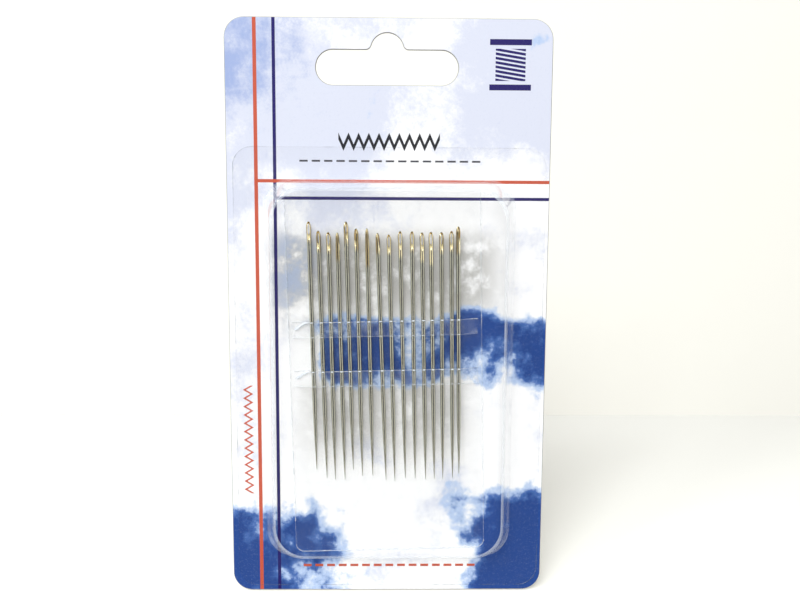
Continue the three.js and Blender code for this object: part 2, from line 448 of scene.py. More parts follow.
@dataclass(frozen=True)
class SpoolMark(Mark):
    """A small printed spool of thread.

    The bare core at each end is in flanges, half the wound width is in widths, and half the
    weight of a turn is in threads.
    """

    middle: Pair
    width: float
    height: float
    flange: float
    thread: float
    slant: float = 0.16
    bare_core: float = 1.6
    wound_half: float = 0.36
    turn_half: float = 0.3

    def mask(self, sheet: NodeSheet) -> Term:
        """Gives 1 on the spool.

        Args:
            sheet: The node sheet.

        Returns:
            The mask.
        """
        u, v = sheet.around(self.middle)
        far = sheet.math("ABSOLUTE", v)
        rims = sheet.band(far, (self.height - self.flange) / 2, self.flange / 2)
        ends = sheet.product(rims, sheet.band(u, 0.0, self.width / 2))
        turn = sheet.math("WRAP", sheet.line(u, self.slant, v), self.thread / 2, -self.thread / 2)
        body = sheet.band(far, 0.0, self.height / 2 - self.bare_core * self.flange)
        wound = sheet.product(body, sheet.band(u, 0.0, self.wound_half * self.width))
        turns = sheet.product(wound, sheet.band(turn, 0.0, self.turn_half * self.thread))
        return sheet.math("MAXIMUM", ends, turns)


@dataclass(frozen=True)
class PrintedStock(Finish):
    """The printed front of the card: a cloudy sky under the marks of the print."""

    marks: tuple[Mark, ...]
    paper: Colour = srgb(250, 250, 252)
    wash: Tone = Tone(srgb(216, 220, 236), 0.78, 1.0)
    mist: Tone = Tone(srgb(160, 176, 218), 0.78, 1.18)
    # The grey tones behind the needle row are partly print clouds and partly painted shade of the
    # needles.
    shade: Tone = Tone(CLOUD_AND_SHADE_GREY, 0.32, 0.52)
    under_shade: Tone = Tone(CLOUD_AND_SHADE_GREY, 0.30, 0.55)
    dusk: Tone = Tone(DUSK_BLUE, 0.42, 0.56)
    fleck: Tone = Tone(DUSK_BLUE, 0.52, 0.74)
    blues: tuple[Tone, ...] = (
        Tone(srgb(182, 202, 234), 0.90, 0.98),
        Tone(srgb(78, 114, 180), 0.97, 1.03),
        Tone(srgb(40, 72, 140), 1.0, 1.09),
    )
    under_share: float = 0.68
    fleck_share: float = 0.10

    # The patterns of the sky and of the board
    banks: Noise = Noise(21.0, 8.0, 0.58)
    puffs: Noise = Noise(7.5, 7.0, 0.64)
    specks: Noise = Noise(0.9, 3.0, 0.7)
    grain: Noise = Noise(0.35, 2.0, 0.6)
    flecks: Noise = Noise(0.6, 2.0, 0.7)
    sheen: Noise = Noise(6.0)

    # Where the tones lie
    upper_left: Patch = Patch(((30.0, -36.0),), ((-50.0, -8.0),))
    upper_right: Patch = Patch(((6.0, 28.0),), ((-32.0, -8.0),))
    head_corner: Patch = Patch(((-8.0, -38.0),), ((-28.0, 6.0),))
    # These two grey patches lie behind the upper and lower parts of the needle row, where they add
    # painted shade.
    row_cloud_and_shade: Patch = Patch(((-30.0, -22.0), (30.0, 20.0)), ((-34.0, -41.0), (-64.0, -48.0)))
    cloud_flank: Patch = Patch(((-12.0, -22.0),))
    under_row_cloud_and_shade: Patch = Patch(((-24.0, -14.0), (24.0, 10.0)), ((-70.0, -74.0), (-94.0, -80.0)))
    blue_middle: Patch = Patch(((-22.0, -11.0),), ((-50.0, -59.0), (-80.0, -68.0)))
    blue_foot: Patch = Patch((), ((-86.0, -108.0),))
    foot_parting: float = 5.0
    foot_sides: Fade = (3.0, 24.0)
    foot_slope: Pair = (0.003, 0.40)

    # How much each pattern and patch counts
    veil_weights: tuple[float, ...] = (0.34, 0.30, 0.22, 0.30)
    haze_weights: tuple[float, ...] = (0.5, 0.30)
    depth_weights: tuple[float, ...] = (0.36, 1.0, 0.42)

    # The board under the print
    ink_hold: Pair = (0.06, 0.95)
    satin: Pair = (0.16, 0.36)
    specular: float = 0.15
    tooth: Pair = (0.12, 0.02)

    def sky(self, sheet: NodeSheet) -> Socket:
        """Writes the cloudy sky: washed at the top, grey behind the needle row partly as painted
        shade, deep between clouds below.

        Args:
            sheet: The node sheet.

        Returns:
            The colour.
        """
        x, _, _ = sheet.parts
        banks, puffs, specks = (sheet.noise(n) for n in (self.banks, self.puffs, self.specks))
        left, right = self.upper_left.share(sheet), self.upper_right.share(sheet)
        veil = sheet.total(banks, (left, puffs, specks, right), self.veil_weights)
        colour = self.wash.over(sheet, self.paper, veil)
        haze = sheet.total(puffs, (self.head_corner.share(sheet), specks), self.haze_weights)
        colour = self.mist.over(sheet, colour, haze)

        # Grey behind the needle row: print clouds with the needles' painted shade laid into them.
        row_cloud_and_shade, under = self.row_cloud_and_shade.share(sheet), self.under_row_cloud_and_shade.share(sheet)
        colour = self.shade.over(sheet, colour, puffs, row_cloud_and_shade)
        colour = self.under_shade.over(sheet, colour, puffs, under, self.under_share)
        colour = self.dusk.over(sheet, colour, puffs, row_cloud_and_shade, self.cloud_flank.share(sheet))

        sides = sheet.rise(sheet.apart(x, self.foot_parting), *self.foot_sides)
        slope = sheet.line(x, *self.foot_slope)
        foot = sheet.product(self.blue_foot.share(sheet), sides, slope)
        depth = sheet.total(banks, (self.blue_middle.share(sheet), foot, puffs), self.depth_weights)
        for blue in self.blues:
            colour = blue.over(sheet, colour, depth)
        return colour

    def shader(self, sheet: NodeSheet) -> Socket:
        """Writes the print on satin coated board.

        Args:
            sheet: The node sheet.

        Returns:
            The shader.
        """
        grain = sheet.noise(self.grain)
        flecks = sheet.noise(self.flecks)
        colour = self.fleck.over(sheet, self.sky(sheet), flecks, self.fleck_share)
        hold = sheet.line(grain, *self.ink_hold)
        for mark in self.marks:
            colour = sheet.blend(sheet.product(mark.mask(sheet), hold), colour, mark.ink.value)
        inputs = {
            "Base Color": colour,
            "Roughness": sheet.line(sheet.noise(self.sheen), *self.satin),
            "Specular IOR Level": self.specular,
            "Normal": sheet.bump(grain, *self.tooth),
        }
        return sheet.first("ShaderNodeBsdfPrincipled", inputs)


@dataclass(frozen=True)
class BoardStock(Finish):
    """Plain pulp board, as the card shows it on its back and its cut edges, whose darker grey is
    partly painted shade.
    """

    colour: Colour
    fleck: Colour
    fibre: float = 1.6
    fibre_layers: Pair = (5.0, 0.65)
    fibre_run: Triple = (1.0, 1.0, 0.3)
    flecks: Noise = Noise(0.7, 3.0, 0.7)
    fleck_fade: Fade = (0.60, 0.78)
    matt: Pair = (0.2, 0.68)
    specular: float = 0.25
    tooth: Pair = (0.35, 0.03)

    def shader(self, sheet: NodeSheet) -> Socket:
        """Writes the board with its fibres and flecks.

        Args:
            sheet: The node sheet.

        Returns:
            The shader.
        """
        pattern = Noise(self.fibre, *self.fibre_layers)
        fibres = sheet.noise(pattern, sheet.stretch(self.fibre_run))
        flecks = Tone(self.fleck, *self.fleck_fade)
        inputs = {
            "Base Color": flecks.over(sheet, self.colour, sheet.noise(self.flecks)),
            "Roughness": sheet.line(fibres, *self.matt),
            "Specular IOR Level": self.specular,
            "Normal": sheet.bump(fibres, *self.tooth),
        }
        return sheet.first("ShaderNodeBsdfPrincipled", inputs)


@dataclass(frozen=True)
class ClearFilm(Finish):
    """Clear formed plastic film, which mirrors more the more it is seen edge on."""

    tint: Colour = (0.998, 0.998, 0.996, 1.0)
    milk: Colour = srgb(238, 245, 254)
    mirror: float = 0.016
    grazing: float = 5.0
    gloss: float = 0.04
    haze: float = 0.002
    scuffs: float = 0.006
    scuff_size: float = 3.0
    scuff_layers: Pair = (6.0, 0.7)
    scuff_fade: Fade = (0.45, 0.72)
    wave: float = 9.0
    wave_layers: float = 2.0
    wave_strength: float = 0.6
    wave_depth: float = 0.05

    def whitening(self, sheet: NodeSheet) -> Socket:
        """Writes the share of the film that is hazed or scuffed white."""
        scuffs = sheet.noise(Noise(self.scuff_size, *self.scuff_layers))
        return sheet.line(sheet.rise(scuffs, *self.scuff_fade), self.scuffs, self.haze)

    def shader(self, sheet: NodeSheet) -> Socket:
        """Writes the film: clear, with a little haze and scuffing, under a glossy face.

        Args:
            sheet: The node sheet.

        Returns:
            The shader.
        """
        waves = sheet.noise(Noise(self.wave, self.wave_layers))
        ripple = sheet.bump(waves, self.wave_strength, self.wave_depth)
        clear = sheet.first("ShaderNodeBsdfTransparent", {"Color": self.tint})
        white = sheet.first("ShaderNodeBsdfDiffuse", {"Color": self.milk, "Normal": ripple})
        body = sheet.mix(self.whitening(sheet), clear, white)
        edge_on = sheet.node("ShaderNodeLayerWeight", {"Normal": ripple}).outputs["Facing"]
        grazing = sheet.math("POWER", edge_on, self.grazing)
        share = sheet.line(grazing, 1 - self.mirror, self.mirror)
        shine = {"Color": WHITE, "Roughness": self.gloss, "Normal": ripple}
        return sheet.mix(share, body, sheet.first("ShaderNodeBsdfGlossy", shine))


@dataclass(frozen=True)
class StripEdge(ClearFilm):
    """The cut edges of the carrier, with a painted highlight where a strip bends over a needle and
    painted shade on the lower edges.
    """

    strip_spacing: float = 1.0
    crest: float = 2.05
    crest_depth: float = 0.07
    crest_glint: float = 0.95
    lower_edge_light_share: float = 0.35

    def whitening(self, sheet: NodeSheet) -> Socket:
        """Adds a painted highlight on every crest to the film's own haze, both dimmed on lower
        edges as painted shade.

        Args:
            sheet: The node sheet.

        Returns:
            The share.
        """
        _, y, z = sheet.parts
        # Painted highlight on every crest; the lower edges are dimmed as painted shade.
        fleck = sheet.rise(y, self.crest_depth - self.crest, -self.crest)
        flecks = sheet.product(fleck, self.crest_glint)
        white = sheet.math("MAXIMUM", super().whitening(sheet), flecks)
        upper = sheet.math("WRAP", z, self.strip_spacing, 0.0)
        upper = sheet.math("GREATER_THAN", upper, self.strip_spacing / 2)
        return sheet.product(white, sheet.line(upper, 1 - self.lower_edge_light_share, self.lower_edge_light_share))


@dataclass(frozen=True)
class DrawnWall(ClearFilm):
    """The walls of the dome: hazed where the film was drawn, most at its corners and shoulder,
    where the white is partly painted highlight.

    The fades of the corners are from the dome's sides, and those of its shoulder from its face.
    """

    middle: Pair = (0.0, 0.0)
    half: Pair = (1.0, 1.0)
    depth: float = 1.0
    corner_fade: Fade = (8.0, 3.0)
    corner_haze_and_highlight: float = 0.06
    shoulder_fade: Fade = (1.0, 0.2)
    shoulder_haze_and_highlight: float = 0.16

    def whitening(self, sheet: NodeSheet) -> Socket:
        """Adds the haze and painted highlight of the corners and of the shoulder to the film's own.

        Args:
            sheet: The node sheet.

        Returns:
            The share.
        """
        x, y, z = sheet.parts
        near = [
            sheet.rise(sheet.apart(place, middle), *(half - inset for inset in self.corner_fade))
            for place, middle, half in zip((x, z), self.middle, self.half)
        ]
        shoulder = sheet.rise(y, *(inset - self.depth for inset in self.shoulder_fade))
        hazes_and_highlights = (self.corner_haze_and_highlight, self.shoulder_haze_and_highlight)
        return sheet.total(super().whitening(sheet), (sheet.product(*near), shoulder), hazes_and_highlights)


@dataclass(frozen=True)
class GiltSteel(Finish):
    """Drawn and polished steel, gilt from the eye's end down to a little below the eye, with
    painted shade at the gilt's rim and crown and in the eye.

    The fades of the rim and of the brow are in half widths of the head, and the fade of the
    crown is from the needle's top.
    """

    needle: Needle
    gilt_length: float
    fade: float = 1.6
    ragged: float = 1.2
    steel: Colour = srgb(190, 189, 174)
    tarnish: Tone = Tone(srgb(172, 170, 154), 0.45, 0.75)
    gilt: Colour = srgb(252, 241, 202)
    # Painted shade: this darker gilt stands for the dark edges of the head and the shaded top of
    # the eye, and the eye's wall colour for the shade inside the eye.
    shaded_gilt: Colour = srgb(122, 98, 50)
    eye_wall_shade: Colour = srgb(196, 168, 108)
    eye_reach: float = 1.03
    rim: Fade = (0.5, 0.8)
    rim_shade: float = 0.75
    brow: Fade = (0.6, 0.3)
    crown: Fade = (1.0, 0.6)
    lines: Noise = Noise(0.16, 3.0, 0.6)
    line_run: Triple = (1.0, 1.0, 0.02)
    stains: Noise = Noise(1.4, 3.0, 0.6)
    stain_run: Triple = (1.0, 1.0, 0.25)
    polish: Pair = (0.06, 0.06)
    tooth: Pair = (0.12, 0.01)

    def gilding(self, sheet: NodeSheet) -> Socket:
        """Writes the gilt end: bright on its faces, worn at its rim, darker in the eye.

        Args:
            sheet: The node sheet.

        Returns:
            The colour.
        """
        x, _, z = sheet.parts
        needle, top = self.needle, self.needle.length / 2
        aside = sheet.math("ABSOLUTE", x)
        rim, brow = (
            sheet.rise(aside, *(share * needle.head_width / 2 for share in fade))
            for fade in (self.rim, self.brow)
        )
        crown = sheet.rise(z, *(top - inset for inset in self.crown))
        # Painted shade on the rim and on the crown above the eye.
        rim_shaded, crown_shaded = sheet.product(rim, self.rim_shade), sheet.product(crown, brow)
        colour = sheet.blend(sheet.math("MAXIMUM", rim_shaded, crown_shaded), self.gilt, self.shaded_gilt)
        middle = top - needle.eye_from_top - needle.eye[1] / 2
        across = sheet.math("MULTIPLY", x, 2 / needle.eye[0])
        up = sheet.math("MULTIPLY", sheet.math("SUBTRACT", z, middle), 2 / needle.eye[1])
        oval = sheet.math("ADD", sheet.product(across, across), sheet.product(up, up))
        return sheet.blend(sheet.math("LESS_THAN", oval, self.eye_reach), colour, self.eye_wall_shade)

    def shader(self, sheet: NodeSheet) -> Socket:
        """Writes the steel, its drawn lines and its gilt end.

        Args:
            sheet: The node sheet.

        Returns:
            The shader.
        """
        _, _, z = sheet.parts
        lines = sheet.noise(self.lines, sheet.stretch(self.line_run))
        stains = sheet.noise(self.stains, sheet.stretch(self.stain_run))
        end = self.needle.length / 2 - self.gilt_length + self.ragged / 2
        reach = sheet.line(stains, self.ragged, z)
        gilt = sheet.rise(reach, end - self.fade / 2, end + self.fade / 2)
        steel = self.tarnish.over(sheet, self.steel, stains)
        inputs = {
            "Base Color": sheet.blend(gilt, steel, self.gilding(sheet)),
            "Metallic": 1.0,
            "Roughness": sheet.line(lines, *self.polish),
            "Normal": sheet.bump(lines, *self.tooth),
        }
        return sheet.first("ShaderNodeBsdfPrincipled", inputs)


@dataclass(frozen=True)
class StudioWhite(Finish):
    """Matt white of the table and the wall, which throws little light back."""

    seen: Colour
    thrown: Colour = srgb(188, 187, 184)

    def shader(self, sheet: NodeSheet) -> Socket:
        """Writes the white, open from behind so that the wall hides nothing.

        Args:
            sheet: The node sheet.

        Returns:
            The shader.
        """
        looked_at = sheet.node("ShaderNodeLightPath").outputs["Is Camera Ray"]
        colour = sheet.blend(looked_at, self.thrown, self.seen)
        matt = sheet.first("ShaderNodeBsdfDiffuse", {"Color": colour})
        behind = sheet.node("ShaderNodeNewGeometry").outputs["Backfacing"]
        return sheet.mix(behind, matt, sheet.first("ShaderNodeBsdfTransparent"))


def add_object(name: str, data: bpy.types.ID) -> bpy.types.Object:
    """Puts a mesh, a lamp or a camera in the scene.

    Args:
        name: The object's name.
        data: What it holds.

    Returns:
        The object.
    """
    made = bpy.data.objects.new(name, data)
    bpy.context.scene.collection.objects.link(made)
    return made


def dress(piece: bpy.types.Object, finishes: tuple[Finish, ...]) -> None:
    """Gives a piece its materials, in the order of their places on its mesh."""
    for finish in finishes:
        piece.data.materials.append(finish.material())


def stand_in(piece: bpy.types.Object, body: str, node: str) -> None:
    """Makes a piece ride on a body and hides the solid that it stands for.

    Args:
        piece: The piece.
        body: The body.
        node: The solid's node.
    """
    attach(piece, body)
    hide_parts(node)


def mesh_of(name: str, work: bmesh.types.BMesh, sharp: float | None = 35.0) -> bpy.types.Mesh:
    """Closes a mesh under work, with smooth shading up to an angle.

    Args:
        name: The mesh's name.
        work: The mesh under work, in millimetres.
        sharp: Edges that turn by more than this angle stay sharp. None keeps faces flat.

    Returns:
        The mesh, in metres.
    """
    bmesh.ops.recalc_face_normals(work, faces=work.faces[:])
    bmesh.ops.scale(work, vec=Vector((MM, MM, MM)), verts=work.verts[:])
    mesh = bpy.data.meshes.new(name)
    work.to_mesh(mesh)
    work.free()
    if sharp is not None:
        shade(mesh, sharp)
    return mesh


def shade(mesh: bpy.types.Mesh, sharp: float) -> None:
    """Shades a mesh smoothly, with sharp edges where it turns by more than an angle."""
    mesh.shade_smooth()
    mesh.set_sharp_from_angle(angle=math.radians(sharp))


def baked(name: str, source: bpy.types.Object, sharp: float) -> bpy.types.Mesh:
    """Takes an object's mesh with its modifiers applied, and removes the object.

    Args:
        name: The new mesh's name.
        source: The object.
        sharp: Edges that turn by more than this angle are sharp.

    Returns:
        The mesh.
    """
    graph = bpy.context.evaluated_depsgraph_get()
    mesh = bpy.data.meshes.new_from_object(source.evaluated_get(graph))
    mesh.name = name
    bpy.data.objects.remove(source)
    shade(mesh, sharp)
    return mesh


def belts(
    work: bmesh.types.BMesh, rings: list[Ring], part: dict[int, int]
) -> list[list[bmesh.types.BMVert]]:
    """Skins closed rings of the same count, and leaves the first and the last one open.

    Args:
        work: The mesh that takes the faces.
        rings: The rings, in order.
        part: Material places of the belts that differ from 0, by the ring they start from.

    Returns:
        The rings' vertices.
    """
    loops = [[work.verts.new(point) for point in ring] for ring in rings]
    for belt, (near, far) in enumerate(zip(loops, loops[1:])):
        for i, _ in enumerate(near):
            j = (i + 1) % len(near)
            face = work.faces.new((near[i], near[j], far[j], far[i]))
            face.material_index = part.get(belt, 0)
    return loops


def skin(rings: list[Ring], part: dict[int, int] | None = None) -> bmesh.types.BMesh:
    """Skins closed rings of the same count and closes the first and the last one.

    Args:
        rings: The rings, in order.
        part: Material places of the belts that differ from 0, by the ring they start from.

    Returns:
        The mesh under work.
    """
    work = bmesh.new()
    loops = belts(work, rings, part or {})
    work.faces.new(loops[0][::-1])
    work.faces.new(loops[-1])
    return work


def arc(middle: Pair, radius: float, start: float, stop: float, steps: int) -> list[Pair]:
    """Gives points on an arc.

    Args:
        middle: Its centre.
        radius: Its radius.
        start: The angle of its first point, in radians.
        stop: The angle of its last point, in radians.
        steps: How many steps it has.

    Returns:
        The points.
    """
    turns = [start + (stop - start) * i / steps for i in range(steps + 1)]
    return [(middle[0] + radius * math.cos(t), middle[1] + radius * math.sin(t)) for t in turns]


def rounded_rectangle(width: float, height: float, radius: float, steps: int) -> list[Pair]:
    """Gives a rounded rectangle about the origin, anticlockwise from its right side.

    Args:
        width: Its width.
        height: Its height.
        radius: The radius of its corners.
        steps: How many steps each corner has.

    Returns:
        The points.
    """
    x, z = width / 2 - radius, height / 2 - radius
    points: list[Pair] = []
    for corner, middle in enumerate(((x, z), (-x, z), (-x, -z), (x, -z))):
        start = corner * QUARTER
        points += arc(middle, radius, start, start + QUARTER, steps)
    return points


@dataclass
class Card:
    """The printed card with its euro slot."""

    width: float = 73.709
    top: float = 10.85
    foot: float = -122.56
    middle: float = 0.4
    corner: float = 4.5
    thickness: float = 0.5
    lip: float = 0.15
    slot_length: float = 32.0
    slot_height: float = 7.7
    notch_radius: float = 3.7
    notch_fillet: float = 1.3
    upright_lines: Pair = (-30.09, -25.84)
    across_lines: Pair = (-25.25, -29.1)
    steps: int = 14

    def outline(self) -> list[Pair]:
        """Gives the card's outline, anticlockwise.

        Returns:
            The points.
        """
        shape = rounded_rectangle(self.width, self.top - self.foot, self.corner, self.steps)
        height = (self.top + self.foot) / 2
        return [(x + self.middle, z + height) for x, z in shape]

    def slot(self) -> list[Pair]:
        """Gives the outline of the slot with its notch, clockwise as a hole.

        Returns:
            The points.
        """
        edge, fillet, bump = self.slot_height / 2, self.notch_fillet, self.notch_radius
        end = self.slot_length / 2 - edge
        reach = math.sqrt((bump + fillet) ** 2 - fillet**2)
        turn = math.atan2(fillet, reach)
        round_steps, fillet_steps = 2 * self.steps, self.steps // 2
        points = arc((end, 0), edge, -QUARTER, QUARTER, round_steps)
        points += arc((reach, edge + fillet), fillet, -QUARTER, turn - math.pi, fillet_steps)
        points += arc((0, edge), bump, turn, math.pi - turn, round_steps)[1:-1]
        points += arc((-reach, edge + fillet), fillet, -turn, -QUARTER, fillet_steps)
        points += arc((-end, 0), edge, QUARTER, 3 * QUARTER, round_steps)
        return points[::-1]

    def levels(self, outline: list[Pair]) -> list[Ring]:
        """Gives the rings of one outline, from the front face over the lips to the back.

        Args:
            outline: The outline, with the board on its left.

        Returns:
            The rings.
        """
        inner: list[Pair] = []
        count = len(outline)
        for i, (x, z) in enumerate(outline):
            before, after = Vector(outline[i - 1]), Vector(outline[(i + 1) % count])
            along = (after - before).normalized()
            inner.append((x - along.y * self.lip, z + along.x * self.lip))
        depths = (0.0, self.lip, self.thickness - self.lip, self.thickness)
        shapes = (inner, outline, outline, inner)
        return [[Vector((x, y, z)) for x, z in shape] for y, shape in zip(depths, shapes)]

    def mesh(self) -> bpy.types.Mesh:
        """Builds the card.

        Returns:
            The mesh.
        """
        work = bmesh.new()
        walls = []
        for outline in (self.outline(), self.slot()):
            rings = self.levels(outline)
            edge = dict.fromkeys(range(len(rings)), CardSide.EDGE.value)
            walls.append(belts(work, rings, edge))
        for level, side in ((0, CardSide.FRONT), (-1, CardSide.BACK)):
            cap = [loops[level] for loops in walls]
            corners = [vert for loop in cap for vert in loop]
            for triangle in tessellate_polygon([[v.co for v in loop] for loop in cap]):
                face = work.faces.new([corners[i] for i in triangle])
                face.material_index = side.value
        return mesh_of("printed_card", work)

    def marks(self) -> tuple[Mark, ...]:
        """Lays out the print: ruled stripes, rows of stitches and a spool.

        Returns:
            The marks, in the order of printing.
        """
        across, upright = Run.ACROSS, Run.UPRIGHT
        running, zigzag = Stitch.RUNNING, Stitch.ZIGZAG
        right = self.middle + self.width / 2
        orange, navy = (self.middle + place for place in self.upright_lines)
        return (
            Stripe(Ink.ORANGE, upright, orange, 0.84, self.foot, self.top),
            Stripe(Ink.NAVY, upright, navy, 0.76, self.foot, self.top),
            Stripe(Ink.ORANGE, across, self.across_lines[0], 0.74, orange, right),
            Stripe(Ink.NAVY, across, self.across_lines[1], 0.72, navy, right),
            StitchRow(Ink.BLACK, across, zigzag, (0.5, -16.4), 10, 2.3, 2.6, 0.6),
            StitchRow(Ink.GREY, across, running, (0.7, -20.7), 15, 2.8, 1.9, 0.42),
            StitchRow(Ink.ORANGE, upright, zigzag, (-32.3, -85.6), 13, 2.0, 1.7, 0.36),
            StitchRow(Ink.ORANGE, across, running, (0.9, -116.4), 15, 2.8, 1.9, 0.6),
            SpoolMark(Ink.NAVY, (27.7, 0.8), 9.4, 11.2, 1.3, 0.95),
        )

    def build(self) -> bpy.types.Object:
        """Builds and dresses the card.

        Returns:
            The piece.
        """
        piece = add_object("printed_card", self.mesh())
        front = PrintedStock("printed_board", self.marks())
        # The cut edges are darker grey than the back: partly raw board, partly painted shade of the
        # edges and of the card's foot.
        edge = BoardStock("cut_board_and_shade", srgb(168, 166, 166), srgb(140, 136, 134), 0.5)
        back = BoardStock("plain_board", srgb(232, 229, 222), srgb(205, 199, 187))
        dress(piece, (front, edge, back))
        stand_in(piece, PACK_BODY, "backing_card")
        return piece


@dataclass
class Blister:
    """The clear blister: a dome with drafted walls on a flange that is sealed to the card."""

    middle: Pair = (0.67, -69.405)
    dome: Pair = (57.789, 89.51)
    flange: Pair = (71.309, 103.71)
    film: float = 0.3
    depth: float = 6.8
    draft: float = 17.2
    face_radius: float = 0.8
    base_radius: float = 0.7
    dome_corner: float = 6.9
    flange_corner: float = 4.5
    seat: float = 0.02
    cut_band: float = 0.16
    face_border: float = 0.6
    steps: int = 18
    base_steps: int = 6
    face_steps: int = 10

    def ring(self, size: Pair, radius: float, depth: float) -> Ring:
        """Gives a rounded rectangle at a depth in front of the card.

        Args:
            size: Its width and height.
            radius: The radius of its corners.
            depth: How far it is from the card.

        Returns:
            The ring.
        """
        shape = rounded_rectangle(size[0], size[1], radius, self.steps)
        y = -max(depth, self.seat)
        return [Vector((x + self.middle[0], y, z + self.middle[1])) for x, z in shape]

    def wall(self, offset: float) -> list[Pair]:
        """Gives the dome's wall as insets and depths, from the flange to the face.

        Args:
            offset: How far inside the outer face of the film it is.

        Returns:
            The insets and depths.
        """
        draft = math.radians(self.draft)
        base, face = self.base_radius + offset, self.face_radius - offset
        low, high = self.film + self.base_radius, self.depth - self.face_radius
        both = self.face_radius + self.base_radius
        rise = high - low + both * math.sin(draft)
        across = both * math.cos(draft) + rise * math.tan(draft)
        foot = arc((0, low), base, -QUARTER, -draft, self.base_steps)
        return foot + arc((across, high), face, math.pi - draft, QUARTER, self.face_steps)

    def dome_ring(self, inset: float, depth: float, corner: float) -> Ring:
        """Gives the dome's ring at an inset and a depth, with a corner of its own."""
        size = (self.dome[0] - 2 * inset, self.dome[1] - 2 * inset)
        return self.ring(size, corner, depth)

    def mesh(self) -> bpy.types.Mesh:
        """Builds the blister from its inner face out over the flange to its outer face.

        Returns:
            The mesh.
        """
        inner, outer = self.wall(self.film)[::-1], self.wall(0.0)
        inner.insert(0, (inner[0][0] + self.face_border, inner[0][1]))
        outer.append((outer[-1][0] + self.face_border, outer[-1][1]))
        band = self.cut_band
        top = (self.flange[0] - 2 * band, self.flange[1] - 2 * band)
        rings = [self.dome_ring(*at, self.dome_corner - self.film) for at in inner]
        rim = len(rings)
        rings.append(self.ring(self.flange, self.flange_corner, 0.0))
        rings.append(self.ring(self.flange, self.flange_corner, self.film))
        rings.append(self.ring(top, self.flange_corner - band, self.film))
        rings += [self.dome_ring(*at, self.dome_corner) for at in outer]
        used = (FilmPart.CLEAR, FilmPart.CUT_EDGE, FilmPart.WORKED_AND_HIGHLIT)
        clear, cut, worked_and_highlit = (film_part.value for film_part in used)
        part = {belt: worked_and_highlit for belt in range(1, len(rings) - 2)}
        part |= {rim - 1: clear, rim: cut, rim + 1: cut, rim + 2: clear}
        return mesh_of("clear_blister", skin(rings, part))

    def build(self) -> bpy.types.Object:
        """Builds and dresses the blister.

        Returns:
            The piece.
        """
        piece = add_object("clear_blister", self.mesh())
        film = ClearFilm("blister_film")
        cut = ClearFilm(
            "blister_cut_edge", milk=srgb(140, 150, 166), haze=0.02, scuffs=0.4, scuff_size=16.0
        )
        # The drawn walls' white at the corners and shoulder is partly painted highlight.
        drawn = DrawnWall(
            "blister_drawn_wall_highlight",
            haze=0.03,
            scuffs=0.06,
            scuff_size=5.0,
            wave=6.0,
            wave_depth=0.03,
            middle=self.middle,
            half=(self.dome[0] / 2, self.dome[1] / 2),
            depth=self.depth,
        )
        dress(piece, (film, cut, drawn))
        stand_in(piece, PACK_BODY, "blister")
        return piece


@dataclass(frozen=True)
class Lie:
    """How a needle lies in its pockets, and how far it is gilt.

    Aside is from its even place, as a share of the room between two heads. Along is along
    itself, and gilt is how far its gilding reaches down from its top, both in millimetres. Lean
    and roll are in degrees.
    """

    aside: float
    along: float
    lean: float
    roll: float
    gilt: float


LIES = tuple(
    Lie(*row)
    for row in (
        (0.0, 1.6, 0.1, 8.0, 4.6),
        (0.0, -0.5, 0.3, -14.0, 4.8),
        (-0.13, -0.9, 0.0, 10.0, 4.7),
        (-0.21, -1.0, 0.2, 82.0, 6.4),
        (-0.42, 1.4, 0.2, 26.0, 5.0),
        (-0.46, -0.2, 0.0, -30.0, 5.0),
        (-0.29, -0.2, 0.0, 86.0, 8.6),
        (0.13, -1.3, 0.7, 58.0, 4.8),
        (0.21, -1.7, 0.2, -6.0, 4.5),
        (0.46, -1.0, 0.1, 4.0, 6.0),
        (0.71, -1.1, -0.3, -10.0, 4.5),
        (0.8, -1.4, -0.1, 6.0, 6.6),
        (0.63, -1.3, -0.1, -4.0, 7.4),
        (0.59, -1.4, -0.5, 12.0, 4.8),
        (0.63, -1.2, -0.5, -8.0, 4.6),
        (0.0, -0.2, -0.5, 36.0, 6.2),
    )
)


@dataclass(frozen=True)
class Row:
    """The row of needles: where it is, and where each needle is in it."""

    middle: Pair = (-0.1, -64.555)
    lean: float = 1.45
    pitch: float = 2.25
    head_room: float = 1.13
    needle_depth: float = 1.16

    def place(self) -> Matrix:
        """Gives the row's frame, in metres."""
        shift = Matrix.Translation(Vector((self.middle[0], 0, self.middle[1])) * MM)
        return shift @ Matrix.Rotation(-math.radians(self.lean), 4, "Y")

    def aside(self, i: int, height: float) -> float:
        """Gives where a needle's axis is at a height.

        Args:
            i: The needle's place in the row.
            height: The height from the row's middle.

        Returns:
            The distance from the row's middle line.
        """
        even = (i - (len(LIES) - 1) / 2) * self.pitch
        lie = LIES[i]
        return even + lie.aside * self.head_room - height * math.tan(math.radians(lie.lean))

    def needle_place(self, i: int) -> Matrix:
        """Gives the frame of a needle.

        Args:
            i: The needle's place in the row.

        Returns:
            The frame, in metres.
        """
        lie = LIES[i]
        point = Vector((self.aside(i, lie.along), -self.needle_depth, lie.along))
        lean = Matrix.Rotation(-math.radians(lie.lean), 4, "Y")
        roll = Matrix.Rotation(math.radians(lie.roll), 4, "Z")
        return self.place() @ Matrix.Translation(point * MM) @ lean @ roll


@dataclass
class Weld:
    """A film under work that has one vertex at each point."""

    work: bmesh.types.BMesh
    known: dict[tuple[int, ...], bmesh.types.BMVert] = field(default_factory=dict)

    def vert(self, point: Vector) -> bmesh.types.BMVert:
        """Gives the vertex at a point, and makes it the first time.

        Args:
            point: The point.

        Returns:
            The vertex.
        """
        key = tuple(round(c * WELDS_PER_MM) for c in point)
        if key not in self.known:
            self.known[key] = self.work.verts.new(point)
        return self.known[key]

    def face(self, points: list[Vector], part: FilmPart = FilmPart.CLEAR) -> None:
        """Adds a face on points, in the material of a part of the film."""
        made = self.work.faces.new([self.vert(point) for point in points])
        made.material_index = part.value


